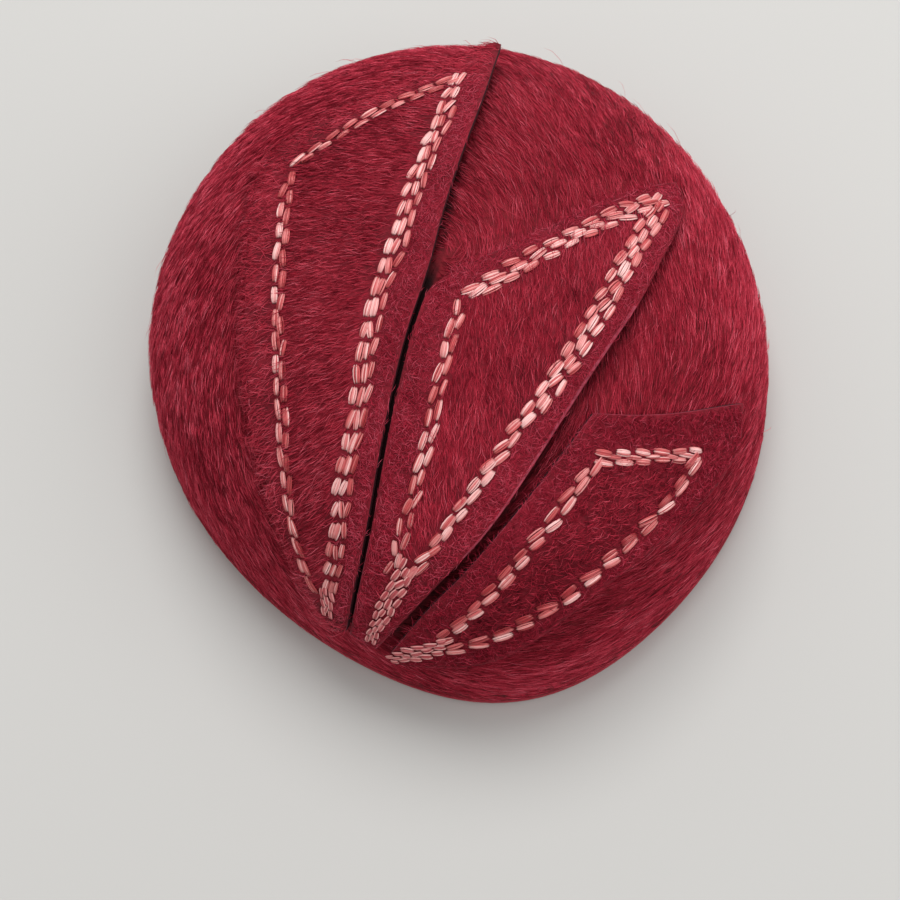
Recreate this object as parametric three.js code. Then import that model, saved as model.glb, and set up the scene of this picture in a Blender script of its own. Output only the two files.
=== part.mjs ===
// A small brimless cap of long-haired felt, worn on the crown of the head.
// The crown is one blocked felt dome with its edge turned in. Three flat felt
// leaves start together at a gather near the front edge and fan out over the
// dome, each a kite with a short side edge, a top edge and one long edge.
//
// Millimetres, +Z up, the front of the cap towards -Y. The cap stands on its rim.

import * as THREE from "three";

// Driving dimensions.
const crownHalfWidth = 75;
const crownHalfLength = 81.4;
const crownHeight = 62;
const crownFullness = 2.3; // 2 is an ellipsoid, more is boxier
const feltWall = 2.2;
const hemDepth = 12; // how far up the inside the turned edge reaches
const hemStep = 1.5; // how far the turned edge's end tapers
const leafFelt = 1.8;
const seatGap = 0.3; // between a leaf and the dome that carries it
const slitGap = 1.1; // between the left and the middle leaf
const edgeLift = 3.5; // how far the left leaf's tip stands off the dome
const curlWidth = 15; // how far in from its edge a leaf lifts
const foldDepth = 1.6;

// What follows from them.
const quarterTurn = Math.PI / 2;
const hemThickness = 2 * feltWall;
const rimRadius = 0.3 * hemThickness; // leaves a flat ring to stand on
const domeArc = (quarterTurn * (crownHeight + crownHalfLength)) / 2; // top to rim, nearly

// The rim's plan leaves the oval at two places. Each row says which way it
// faces, how wide it is and how far it moves the rim, as a share of the oval.
const rimFeatures = [
  { name: "front point", facing: -87, spread: 21, reach: 0.052 },
  { name: "flat at the gather", facing: -136, spread: 39, reach: -0.061 },
];

// Soft folds of the dome beside the leaves. A place on the dome is two shares
// of the way from its top to its rim: side is towards +X, back towards +Y. The
// rise is a share of the folds' depth, and the spread one of the dome's arc.
const foldTaperShare = 0.06; // where along it, from each end, a fold starts to die out
const folds = [
  { fromSide: -0.25, fromBack: -0.755, toSide: 0.03, toBack: -0.51, rise: -0.9, spread: 0.03 },
  { fromSide: -0.08, fromBack: -0.8, toSide: 0.32, toBack: -0.66, rise: -1, spread: 0.05 },
  { fromSide: -0.18, fromBack: -0.89, toSide: 0.46, toBack: -0.76, rise: 0.7, spread: 0.045 },
];

// The leaves' edges, from the gather outwards. Lift is how far an edge stands off
// the dome, as a share of the edge lift. A leaf has a side edge and a top edge,
// which meet at its corner, and a long edge. The middle leaf's side edge lies
// along its neighbour's long edge, up to this share of it.
const middleCornerShare = 0.585;
const leftSideEdge = [
  { side: -0.388, back: -0.742, lift: 0.09 },
  { side: -0.414, back: -0.645, lift: 0.09 },
  { side: -0.412, back: -0.5, lift: 0.09 },
  { side: -0.423, back: -0.36, lift: 0.09 },
  { side: -0.417, back: -0.166, lift: 0.11 },
  { side: -0.394, back: -0.005, lift: 0.11 },
  { side: -0.365, back: 0.169, lift: 0.14 },
  { side: -0.326, back: 0.303, lift: 0.17 },
];
const leftTopEdge = [
  { side: -0.326, back: 0.303, lift: 0.17 },
  { side: -0.193, back: 0.346, lift: 0.2 },
  { side: -0.072, back: 0.38, lift: 0.29 },
  { side: 0.045, back: 0.42, lift: 0.51 },
  { side: 0.16, back: 0.506, lift: 0.97 },
];
const leftLongEdge = [
  { side: -0.348, back: -0.738, lift: 0.11 },
  { side: -0.318, back: -0.69, lift: 0.2 },
  { side: -0.25, back: -0.562, lift: 0.26 },
  { side: -0.199, back: -0.45, lift: 0.29 },
  { side: -0.135, back: -0.28, lift: 0.37 },
  { side: -0.08, back: -0.142, lift: 0.46 },
  { side: -0.033, back: -0.043, lift: 0.54 },
  { side: 0.013, back: 0.077, lift: 0.63 },
  { side: 0.059, back: 0.188, lift: 0.71 },
  { side: 0.115, back: 0.322, lift: 0.8 },
  { side: 0.172, back: 0.494, lift: 1 },
];
const middleTopEdge = [
  { side: 0.068, back: -0.023, lift: 0.26 },
  { side: 0.167, back: 0.013, lift: 0.14 },
  { side: 0.272, back: 0.063, lift: 0.11 },
  { side: 0.375, back: 0.115, lift: 0.11 },
  { side: 0.505, back: 0.166, lift: 0.17 },
];
const middleLongEdge = [
  { side: -0.278, back: -0.778, lift: 0.11 },
  { side: -0.224, back: -0.723, lift: 0.2 },
  { side: -0.089, back: -0.59, lift: 0.43 },
  { side: 0.013, back: -0.495, lift: 0.57 },
  { side: 0.134, back: -0.358, lift: 0.66 },
  { side: 0.238, back: -0.248, lift: 0.57 },
  { side: 0.345, back: -0.14, lift: 0.4 },
  { side: 0.416, back: -0.046, lift: 0.31 },
  { side: 0.489, back: 0.056, lift: 0.26 },
  { side: 0.515, back: 0.13, lift: 0.23 },
];
const rightSideEdge = [
  { side: -0.25, back: -0.792, lift: 0.11 },
  { side: -0.132, back: -0.66, lift: 0.17 },
  { side: -0.052, back: -0.585, lift: 0.17 },
  { side: 0.03, back: -0.505, lift: 0.2 },
  { side: 0.136, back: -0.405, lift: 0.23 },
  { side: 0.223, back: -0.325, lift: 0.23 },
];
const rightTopEdge = [
  { side: 0.223, back: -0.325, lift: 0.23 },
  { side: 0.319, back: -0.34, lift: 0.2 },
  { side: 0.441, back: -0.343, lift: 0.14 },
  { side: 0.622, back: -0.326, lift: 0.09 },
];
const rightLongEdge = [
  { side: -0.243, back: -0.822, lift: 0.09 },
  { side: -0.106, back: -0.806, lift: 0.2 },
  { side: 0.002, back: -0.777, lift: 0.34 },
  { side: 0.12, back: -0.708, lift: 0.51 },
  { side: 0.213, back: -0.654, lift: 0.54 },
  { side: 0.348, back: -0.597, lift: 0.43 },
  { side: 0.469, back: -0.536, lift: 0.26 },
  { side: 0.565, back: -0.472, lift: 0.14 },
  { side: 0.618, back: -0.405, lift: 0.09 },
];

// Mesh steps.
const stepsAround = 96;
const outerRings = 24;
const innerRings = 8;
const rimArcSteps = 3;
const ringPower = 0.8; // below 1 the rings crowd towards the rim
const stepsAlongSide = 18;
const stepsAlongTop = 9;
const stepsAcross = 9;

const fadePower = 3; // how fast the rim features fade towards the top
const smallStep = 1e-3; // of a share, to find a direction

// The dome's smooth outer skin at a place given as shares of the way to the rim.
function smoothDome(side, back) {
  const facing = Math.atan2(back, side);
  const out = Math.sin(Math.min(Math.hypot(side, back), 1) * quarterTurn);
  const oval =
    1 / Math.hypot(Math.cos(facing) / crownHalfWidth, Math.sin(facing) / crownHalfLength);
  const fade = out ** fadePower;
  let reach = 1;
  for (const feature of rimFeatures) {
    const turn = facing - THREE.MathUtils.degToRad(feature.facing);
    const away = Math.atan2(Math.sin(turn), Math.cos(turn));
    const spread = THREE.MathUtils.degToRad(feature.spread);
    reach += feature.reach * fade * Math.exp(-((away / spread) ** 2));
  }
  const height =
    crownHeight * Math.max(1 - out ** crownFullness, 0) ** (1 / crownFullness);
  const radius = oval * reach * out;
  return new THREE.Vector3(radius * Math.cos(facing), radius * Math.sin(facing), height);
}

// The way straight out of the dome at a place.
function domeNormal(side, back) {
  // At the rim the step stays on the dome's side of it.
  const reach = Math.hypot(side, back);
  const keep = reach > 1 - 2 * smallStep ? (1 - 2 * smallStep) / reach : 1;
  const [s, b] = [side * keep, back * keep];
  const alongSide = smoothDome(s + smallStep, b).sub(smoothDome(s - smallStep, b));
  const alongBack = smoothDome(s, b + smallStep).sub(smoothDome(s, b - smallStep));
  return alongSide.cross(alongBack).normalize();
}

// How far the soft folds lift or sink the felt at a place.
function foldRise(side, back) {
  let rise = 0;
  for (const fold of folds) {
    const along = new THREE.Vector2(fold.toSide - fold.fromSide, fold.toBack - fold.fromBack);
    const from = new THREE.Vector2(side - fold.fromSide, back - fold.fromBack);
    const share = THREE.MathUtils.clamp(from.dot(along) / along.lengthSq(), 0, 1);
    const away = from.sub(along.multiplyScalar(share)).length();
    const inwards = THREE.MathUtils.clamp(share, foldTaperShare, 1 - foldTaperShare);
    const fading = Math.sin(Math.PI * inwards) * Math.exp(-((away / fold.spread) ** 2));
    rise += fold.rise * foldDepth * fading;
  }
  return rise;
}

// A point off the dome: above it for a positive offset, inside it for a negative one.
function offDome(side, back, offset) {
  return smoothDome(side, back).addScaledVector(domeNormal(side, back), offset);
}

// The share of the way from the top to the rim at which the dome is this high.
function shareAtHeight(height) {
  const out = (1 - (height / crownHeight) ** crownFullness) ** (1 / crownFullness);
  return Math.asin(out) / quarterTurn;
}

// One closed body from rings of points, each ring closed round, with the first
// and the last ring shrunk to a point.
function ringedBody(rings) {
  const around = rings[1].length;
  const points = [rings[0][0]];
  for (const ring of rings.slice(1, -1)) points.push(...ring);
  points.push(rings.at(-1)[0]);
  const faces = [];
  const at = (ring, step) => 1 + (ring - 1) * around + (step % around);
  const last = points.length - 1;
  for (let step = 0; step < around; step++) {
    faces.push(0, at(1, step), at(1, step + 1));
    for (let ring = 1; ring < rings.length - 2; ring++) {
      const [a, b] = [at(ring, step), at(ring, step + 1)];
      const [c, d] = [at(ring + 1, step), at(ring + 1, step + 1)];
      faces.push(a, c, d, a, d, b);
    }
    const ring = rings.length - 2;
    faces.push(at(ring, step), last, at(ring, step + 1));
  }
  return indexedGeometry(points, faces);
}

function indexedGeometry(points, faces) {
  const geometry = new THREE.BufferGeometry().setFromPoints(points);
  geometry.setIndex(faces);
  geometry.computeVertexNormals();
  return geometry;
}

// The blocked dome: its outer skin, the turned edge that it stands on, the end of
// that edge inside, and the inner skin.
function crownGeometry() {
  const rimShare = shareAtHeight(rimRadius);
  const hemEnd = rimShare - hemDepth / domeArc;
  const place = (share, step) => {
    const facing = (2 * Math.PI * step) / stepsAround;
    return [share * Math.cos(facing), share * Math.sin(facing)];
  };
  const ring = (pointAt) => Array.from({ length: stepsAround }, (_, step) => pointAt(step));
  const skin = (share, inset) =>
    ring((step) => {
      const [side, back] = place(share, step);
      return offDome(side, back, foldRise(side, back) - inset);
    });
  const rimArc = (inset, angle) =>
    ring((step) => {
      const [side, back] = place(rimShare, step);
      const outward = domeNormal(side, back).setZ(0).normalize();
      const point = offDome(side, back, foldRise(side, back)).setZ(rimRadius);
      point.addScaledVector(outward, rimRadius * Math.cos(angle) - inset);
      return point.setZ(rimRadius - rimRadius * Math.sin(angle));
    });

  const rings = [];
  for (let i = 0; i <= outerRings; i++) {
    rings.push(skin(rimShare * (i / outerRings) ** ringPower, 0));
  }
  for (let i = 1; i <= rimArcSteps; i++) {
    rings.push(rimArc(rimRadius, (quarterTurn * i) / rimArcSteps));
  }
  for (let i = 0; i < rimArcSteps; i++) {
    rings.push(rimArc(hemThickness - rimRadius, quarterTurn * (1 + i / rimArcSteps)));
  }
  rings.push(skin(rimShare, hemThickness));
  rings.push(skin((rimShare + hemEnd) / 2, hemThickness));
  rings.push(skin(hemEnd, hemThickness));
  for (let i = innerRings; i >= 0; i--) {
    rings.push(skin((hemEnd - hemStep / domeArc) * (i / innerRings), feltWall));
  }
  return ringedBody(rings);
}

// A smooth edge through the rows of its table. It gives side and back shares
// and the lift in millimetres, for t from 0 to 1.
function edgeThrough(rows) {
  const points = rows.map((row) => new THREE.Vector3(row.side, row.back, row.lift));
  const curve = new THREE.CatmullRomCurve3(points, false, "catmullrom");
  return (t) => {
    const point = curve.getPoint(t);
    return { side: point.x, back: point.y, lift: Math.max(point.z * edgeLift, seatGap) };
  };
}

// The edge that lies a gap to the right of another, as far along it as `until`.
function edgeBeside(edge, gap, until) {
  return (t) => {
    const here = edge(t * until);
    const next = edge(t * until + smallStep);
    const way = new THREE.Vector2(next.side - here.side, next.back - here.back).normalize();
    const { x, y } = way.multiplyScalar(gap / domeArc);
    return { side: here.side + y, back: here.back - x, lift: here.lift };
  };
}

// A kite-shaped sheet of felt that lies on the dome, its edges curling up.
function leafGeometry({ side, top, long }) {
  const rows = stepsAlongSide + stepsAlongTop;
  const leftAt = (i) =>
    i <= stepsAlongSide ? side(i / stepsAlongSide) : top((i - stepsAlongSide) / stepsAlongTop);
  const upper = [];
  const lower = [];
  const fade = (away) => Math.max(1 - away / curlWidth, 0) ** 2;
  for (let i = 0; i <= rows; i++) {
    const left = leftAt(i);
    const right = long(i / rows);
    const width = smoothDome(left.side, left.back).distanceTo(smoothDome(right.side, right.back));
    for (let j = 0; j <= stepsAcross; j++) {
      const share = j / stepsAcross;
      const fromLeft = fade(share * width);
      const fromRight = fade((1 - share) * width);
      const curl =
        (fromLeft * (left.lift - seatGap) + fromRight * (right.lift - seatGap)) /
        Math.max(fromLeft + fromRight, 1);
      const lift = seatGap + curl;
      const s = THREE.MathUtils.lerp(left.side, right.side, share);
      const b = THREE.MathUtils.lerp(left.back, right.back, share);
      lower.push(offDome(s, b, lift));
      upper.push(offDome(s, b, lift + leafFelt));
    }
  }

  const columns = stepsAcross + 1;
  const under = upper.length;
  const faces = [];
  const quad = (a, b, c, d) => faces.push(a, b, c, a, c, d);
  for (let i = 0; i < rows; i++) {
    for (let j = 0; j < stepsAcross; j++) {
      const a = i * columns + j;
      quad(a, a + 1, a + columns + 1, a + columns);
      quad(under + a, under + a + columns, under + a + columns + 1, under + a + 1);
    }
  }
  const wall = (a, b) => quad(a, under + a, under + b, b);
  for (let j = 0; j < stepsAcross; j++) {
    wall(j, j + 1);
    wall(rows * columns + j + 1, rows * columns + j);
  }
  for (let i = 0; i < rows; i++) {
    wall((i + 1) * columns, i * columns);
    wall(i * columns + columns - 1, (i + 1) * columns + columns - 1);
  }
  return indexedGeometry([...upper, ...lower], faces);
}

const leftLong = edgeThrough(leftLongEdge);
const middleSide = edgeBeside(leftLong, slitGap, middleCornerShare);
const middleCorner = { ...middleSide(1), lift: middleSide(1).lift / edgeLift };
const leaves = {
  leaf_left: {
    side: edgeThrough(leftSideEdge),
    top: edgeThrough(leftTopEdge),
    long: leftLong,
  },
  leaf_middle: {
    side: middleSide,
    top: edgeThrough([middleCorner, ...middleTopEdge]),
    long: edgeThrough(middleLongEdge),
  },
  leaf_right: {
    side: edgeThrough(rightSideEdge),
    top: edgeThrough(rightTopEdge),
    long: edgeThrough(rightLongEdge),
  },
};

const longHairedFelt = new THREE.MeshStandardMaterial({
  name: "long_haired_felt",
  color: 0x8c2434,
  roughness: 0.9,
  metalness: 0,
});
const clippedFelt = new THREE.MeshStandardMaterial({
  name: "clipped_felt",
  color: 0x7c2036,
  roughness: 0.95,
  metalness: 0,
});

function namedMesh(name, geometry, material) {
  const mesh = new THREE.Mesh(geometry, material);
  mesh.name = name;
  return mesh;
}

const cap = new THREE.Group();
cap.add(namedMesh("crown", crownGeometry(), longHairedFelt));
for (const [name, edges] of Object.entries(leaves)) {
  cap.add(namedMesh(name, leafGeometry(edges), clippedFelt));
}

// The origin is under the middle of the cap's box, on the surface it stands on.
const box = new THREE.Box3().setFromObject(cap);
cap.position.set(-(box.min.x + box.max.x) / 2, -(box.min.y + box.max.y) / 2, -box.min.z);

export default cap;
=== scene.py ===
"""Dresses a small cap of long-haired felt: its felt, its nap and the chain stitch on its three leaves."""

import logging
import math
from dataclasses import dataclass, field
from enum import Enum

import bmesh
import bpy
import numpy as np
from mathutils import Matrix, Vector, noise
from mathutils.bvhtree import BVHTree
from mathutils.kdtree import KDTree


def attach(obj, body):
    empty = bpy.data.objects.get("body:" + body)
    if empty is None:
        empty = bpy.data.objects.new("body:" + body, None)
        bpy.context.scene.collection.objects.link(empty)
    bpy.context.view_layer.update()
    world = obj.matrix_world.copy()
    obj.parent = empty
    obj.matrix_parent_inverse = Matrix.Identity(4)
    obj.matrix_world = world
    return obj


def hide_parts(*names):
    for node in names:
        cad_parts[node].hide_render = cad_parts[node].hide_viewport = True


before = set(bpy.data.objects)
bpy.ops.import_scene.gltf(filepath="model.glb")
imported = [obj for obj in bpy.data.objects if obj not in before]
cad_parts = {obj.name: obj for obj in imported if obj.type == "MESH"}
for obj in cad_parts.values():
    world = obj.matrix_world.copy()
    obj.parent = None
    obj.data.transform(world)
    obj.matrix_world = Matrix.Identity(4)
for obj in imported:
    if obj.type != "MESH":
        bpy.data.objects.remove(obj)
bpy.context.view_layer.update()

MM = 0.001
BODY = "root"
PALETTE_MAP = "OFBake"
# The vertex attribute of painted shade, which darkens the felt under and beside the leaves and on the
# leaves' sides
PAINTED_SHADE = "gloom"
log = logging.getLogger("cap")

Colour = tuple[float, float, float]
Share = tuple[float, float]
Place = tuple[float, float, float]


class Lie(Enum):
    """Which way the hair of a piece lies."""

    ROUND = "round the crown, anticlockwise seen from above"
    ACROSS = "across the leaf, towards the left"
    ALONG = "along the leaf, away from the gather"
    SLANTED = "along the leaf and outwards"


class Patch(Enum):
    """Which part of a leaf some hair grows on."""

    ALL = "the whole piece"
    INSIDE = "inside the lines of stitches"
    MARGIN = "between the stitches and a cut edge that shows"
    SOFT = "between the stitches and an edge that the nap hides"


class Slot(Enum):
    """The record's material slots."""

    CROWN = "long_haired_felt"
    LEAF = "leaf_felt"
    THREAD = "embroidery_thread"


# Small tools

def deselect() -> None:
    """Leaves nothing selected, so that an operator acts on its own object alone."""
    for thing in bpy.context.selected_objects:
        thing.select_set(False)


def select_only(thing: bpy.types.Object) -> None:
    """Makes one object the selected and active one.

    Args:
        thing: the object to select.
    """
    deselect()
    thing.select_set(True)
    bpy.context.view_layer.objects.active = thing


def apply_modifier(thing: bpy.types.Object, kind: str, **settings: object) -> None:
    """Adds a modifier to an object and applies it at once.

    Args:
        thing: the object to change.
        kind: the modifier's type, such as BEVEL.
        settings: the modifier's own values.
    """
    select_only(thing)
    modifier = thing.modifiers.new(kind.lower(), kind)
    for name, value in settings.items():
        setattr(modifier, name, value)
    bpy.ops.object.modifier_apply(modifier=modifier.name)


def unit(vectors: np.ndarray) -> np.ndarray:
    """Scales each row to a length of one.

    Args:
        vectors: rows of vectors.

    Returns:
        The rows, each of length one.
    """
    return vectors / np.maximum(np.linalg.norm(vectors, axis=-1, keepdims=True), 1e-12)


def smooth_step(low: float, high: float, value: np.ndarray) -> np.ndarray:
    """Rises smoothly from 0 at low to 1 at high.

    Args:
        low: where the rise starts.
        high: where it ends.
        value: the values to look up.

    Returns:
        A number from 0 to 1 for each value.
    """
    t = np.clip((value - low) / (high - low), 0, 1)
    return t * t * (3 - 2 * t)


def noise_at(points: np.ndarray, size: float, seed: float) -> np.ndarray:
    """Reads a smooth noise at each point.

    Args:
        points: places in metres.
        size: how large a patch of the noise is, in metres.
        seed: an offset that picks another noise.

    Returns:
        A number from about -1 to 1 for each point.
    """
    scaled = points / size + seed
    return np.array([noise.noise(Vector(place)) for place in scaled])


def tree_of(points: list[np.ndarray]) -> KDTree:
    """Makes a tree to find the nearest of some points with."""
    tree = KDTree(len(points))
    for index, point in enumerate(points):
        tree.insert(Vector(point), index)
    tree.balance()
    return tree


def tree_of_lines(curves: list[np.ndarray]) -> tuple[KDTree, np.ndarray]:
    """Makes a tree to find the nearest of some lines with.

    Args:
        curves: each line's points.

    Returns:
        The tree of all their points, and the number of each point's line.
    """
    return (tree_of([spot for curve in curves for spot in curve]),
            np.repeat(np.arange(len(curves)), [len(curve) for curve in curves]))


def paint_shade(piece: bpy.types.Object, values: np.ndarray) -> None:
    """Writes how much painted shade a piece gets at each of its vertices, for its material to read."""
    layer = piece.data.attributes.new(PAINTED_SHADE, "FLOAT", "POINT")
    layer.data.foreach_set("value", values.astype(np.float32))


def ramp(tree: bpy.types.NodeTree, stops: list[tuple[float, Colour]]) -> bpy.types.Node:
    """Adds a colour ramp.

    Args:
        tree: the material's node tree.
        stops: positions and linear colours, from low to high.

    Returns:
        The ramp node.
    """
    node = tree.nodes.new("ShaderNodeValToRGB")
    elements = node.color_ramp.elements
    while len(elements) < len(stops):
        elements.new(0.5)
    for element, (place, colour) in zip(elements, stops):
        element.position = place
        element.color = (*colour, 1)
    return node


def mixed(tree: bpy.types.NodeTree, how: str, factor: object, first: object, second: object) -> object:
    """Adds a colour mix and returns its result.

    Args:
        tree: the material's node tree.
        how: the blend type, such as MULTIPLY.
        factor: a number or a socket.
        first: a colour or a socket.
        second: a colour or a socket.

    Returns:
        The result's socket.
    """
    # A mix node has sockets for numbers, vectors and colours under the same names, so these go by number
    node = tree.nodes.new("ShaderNodeMix")
    node.data_type = "RGBA"
    node.blend_type = how
    for socket, value in ((node.inputs[0], factor), (node.inputs[6], first), (node.inputs[7], second)):
        if isinstance(value, bpy.types.NodeSocket):
            tree.links.new(value, socket)
        elif isinstance(value, (int, float)):
            socket.default_value = value
        else:
            socket.default_value = (*value, 1)
    return node.outputs[2]


def noise_texture(tree: bpy.types.NodeTree, coordinates: object, scale: float, detail: float) -> object:
    """Adds a noise texture and returns its value.

    Args:
        tree: the material's node tree.
        coordinates: the socket that it reads its place from.
        scale: its patches to the metre.
        detail: how many finer noises lie over it.

    Returns:
        The value's socket.
    """
    node = tree.nodes.new("ShaderNodeTexNoise")
    node.inputs["Scale"].default_value = scale
    node.inputs["Detail"].default_value = detail
    tree.links.new(coordinates, node.inputs["Vector"])
    return node.outputs["Fac"]


def bump(tree: bpy.types.NodeTree, height: object, strength: float, distance: float) -> bpy.types.Node:
    """Adds a bump.

    Args:
        tree: the material's node tree.
        height: the socket that it reads its height from.
        strength: how strongly it shows, from 0 to 1.
        distance: how high it rises, in metres.

    Returns:
        The bump node.
    """
    node = tree.nodes.new("ShaderNodeBump")
    node.inputs["Strength"].default_value = strength
    node.inputs["Distance"].default_value = distance
    tree.links.new(height, node.inputs["Height"])
    return node


def new_shader(name: str) -> tuple[bpy.types.Material, bpy.types.NodeTree, bpy.types.Node]:
    """Makes an empty material around one surface shader.

    Args:
        name: the material's name.

    Returns:
        The material, its node tree and its shader node.
    """
    material = bpy.data.materials.new(name)
    material.use_nodes = True
    tree = material.node_tree
    return material, tree, tree.nodes["Principled BSDF"]


# Finishes

@dataclass(frozen=True)
class FeltFinish:
    """Pressed wool felt: a tangle of short fibres, mottled, with a lighter band along the rim, and painted
    shade from an attribute.
    """

    name: str
    deep: Colour
    full: Colour
    band: Colour = (0.42, 0.030, 0.050)
    band_height: float = 3.0 * MM
    mottle_scale: float = 60.0
    tangle_scale: float = 900.0
    fibre_scale: float = 2600.0
    fibre_depth: float = 0.35 * MM
    roughness: float = 0.85
    sheen: float = 0.08
    sheen_tint: Colour = (0.85, 0.20, 0.28)
    # The near-black colour of the painted shade
    dark: Colour = (0.012, 0.001, 0.002)

    def material(self) -> bpy.types.Material:
        """Builds the material.

        Returns:
            The felt's material, which reads Object coordinates.
        """
        material, tree, shader = new_shader(self.name)
        place = tree.nodes.new("ShaderNodeTexCoord").outputs["Object"]
        mottle = noise_texture(tree, place, self.mottle_scale, 3)
        tangle = noise_texture(tree, place, self.tangle_scale, 4)
        fibre = noise_texture(tree, place, self.fibre_scale, 2)
        colour = ramp(tree, [(0.3, self.deep), (0.7, self.full)])
        tree.links.new(mottle, colour.inputs["Fac"])
        shade = ramp(tree, [(0.32, (0.45, 0.45, 0.45)), (0.62, (1.0, 1.0, 1.0))])
        tree.links.new(tangle, shade.inputs["Fac"])
        felt = mixed(tree, "MULTIPLY", 0.8, colour.outputs["Color"], shade.outputs["Color"])
        if self.band_height > 0:
            heights = tree.nodes.new("ShaderNodeSeparateXYZ")
            tree.links.new(place, heights.inputs[0])
            edge = tree.nodes.new("ShaderNodeMapRange")
            edge.inputs["From Min"].default_value = self.band_height
            edge.inputs["From Max"].default_value = 0.7 * self.band_height
            tree.links.new(heights.outputs["Z"], edge.inputs["Value"])
            rim = mixed(tree, "MULTIPLY", 0.6, self.band, shade.outputs["Color"])
            felt = mixed(tree, "MIX", edge.outputs["Result"], felt, rim)
        # Painted shade: the felt turns near black as far as its painted-shade attribute says
        painted_shade_node = tree.nodes.new("ShaderNodeAttribute")
        painted_shade_node.attribute_name = PAINTED_SHADE
        felt = mixed(tree, "MIX", painted_shade_node.outputs["Fac"], felt, self.dark)
        tree.links.new(felt, shader.inputs["Base Color"])
        coarse = bump(tree, tangle, 0.7, self.fibre_depth)
        fine = bump(tree, fibre, 0.6, self.fibre_depth / 2)
        tree.links.new(coarse.outputs["Normal"], fine.inputs["Normal"])
        tree.links.new(fine.outputs["Normal"], shader.inputs["Normal"])
        shader.inputs["Roughness"].default_value = self.roughness
        shader.inputs["Sheen Weight"].default_value = self.sheen
        shader.inputs["Sheen Tint"].default_value = (*self.sheen_tint, 1)
        shader.inputs["Specular IOR Level"].default_value = 0.2
        return material


@dataclass(frozen=True)
class StrandFinish:
    """Hair or thread: a palette map gives each strand its shade, and its place from root to tip for a ramp
    of painted light along it.
    """

    name: str
    shades: tuple[tuple[float, Colour], ...]
    painted_light_lengthwise: tuple[tuple[float, float], ...]
    roughness: float
    specular: float
    gloss_tint: Colour = (1.0, 0.45, 0.50)

    def material(self) -> bpy.types.Material:
        """Builds the material.

        Returns:
            The strands' material, which reads the palette map alone.
        """
        material, tree, shader = new_shader(self.name)
        spot = tree.nodes.new("ShaderNodeUVMap")
        spot.uv_map = PALETTE_MAP
        parts = tree.nodes.new("ShaderNodeSeparateXYZ")
        tree.links.new(spot.outputs["UV"], parts.inputs[0])
        shade = ramp(tree, list(self.shades))
        tree.links.new(parts.outputs["X"], shade.inputs["Fac"])
        # Painted light along each strand: the ramp darkens a hair towards its root and a stitch at its
        # ends, and lightens a stitch's middle as a highlight
        along = ramp(tree, [(place, (value, value, value)) for place, value in self.painted_light_lengthwise])
        tree.links.new(parts.outputs["Y"], along.inputs["Fac"])
        colour = mixed(tree, "MULTIPLY", 1.0, shade.outputs["Color"], along.outputs["Color"])
        tree.links.new(colour, shader.inputs["Base Color"])
        shader.inputs["Roughness"].default_value = self.roughness
        shader.inputs["Specular IOR Level"].default_value = self.specular
        shader.inputs["Specular Tint"].default_value = (*self.gloss_tint, 1)
        return material


# The crown's and the leaves' felt is darker than the nap over it: painted shade for the gaps between the
# hairs
CROWN_FELT = FeltFinish("crown_felt", deep=(0.12, 0.004, 0.009), full=(0.24, 0.011, 0.021))
LEAF_FELT = FeltFinish("leaf_felt", deep=(0.13, 0.004, 0.011), full=(0.25, 0.011, 0.025), band_height=0)
CUT_FELT = FeltFinish("cut_felt", deep=(0.24, 0.030, 0.054), full=(0.40, 0.062, 0.098), band_height=0)
# The nap's lowest shade is near black for the painted shade beside the leaves; the nap's and the fuzz's
# lengthwise ramps darken each hair towards its root, painted shade between the hairs
NAP = StrandFinish(
    "long_nap",
    shades=((0.0, (0.02, 0.001, 0.003)), (0.22, (0.20, 0.007, 0.017)), (0.5, (0.50, 0.027, 0.055)),
            (0.8, (0.76, 0.080, 0.128)), (1.0, (0.90, 0.17, 0.24))),
    painted_light_lengthwise=((0.0, 0.5), (0.3, 0.85), (0.8, 1.0)),
    roughness=0.5, specular=0.16)
FUZZ = StrandFinish(
    "short_fuzz",
    shades=((0.0, (0.10, 0.004, 0.010)), (0.3, (0.30, 0.011, 0.027)), (0.6, (0.59, 0.038, 0.078)),
            (1.0, (0.82, 0.14, 0.21))),
    painted_light_lengthwise=((0.0, 0.5), (0.4, 0.9), (0.8, 1.0)),
    roughness=0.65, specular=0.10)
# The floss's lengthwise ramp darkens each strand at its ends and lightens its middle: painted shade where
# the strands tuck in, and a painted highlight
FLOSS = StrandFinish(
    "satin_floss",
    shades=((0.0, (0.34, 0.018, 0.026)), (0.28, (0.58, 0.085, 0.090)), (0.56, (0.76, 0.26, 0.255)),
            (0.8, (0.96, 0.56, 0.54)), (0.84, (0.40, 0.018, 0.034)), (0.94, (0.90, 0.33, 0.33)),
            (1.0, (0.98, 0.52, 0.50))),
    painted_light_lengthwise=((0.0, 0.38), (0.16, 0.8), (0.45, 1.0), (0.84, 0.85), (1.0, 0.38)),
    roughness=0.3, specular=0.6, gloss_tint=(1.0, 0.85, 0.82))


# The dome that everything lies on

@dataclass(frozen=True)
class Bulge:
    """A swelling of the crown's plan, or a flat where its share is below 0. Its angles are in degrees."""

    facing: float
    spread: float
    share: float


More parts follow.
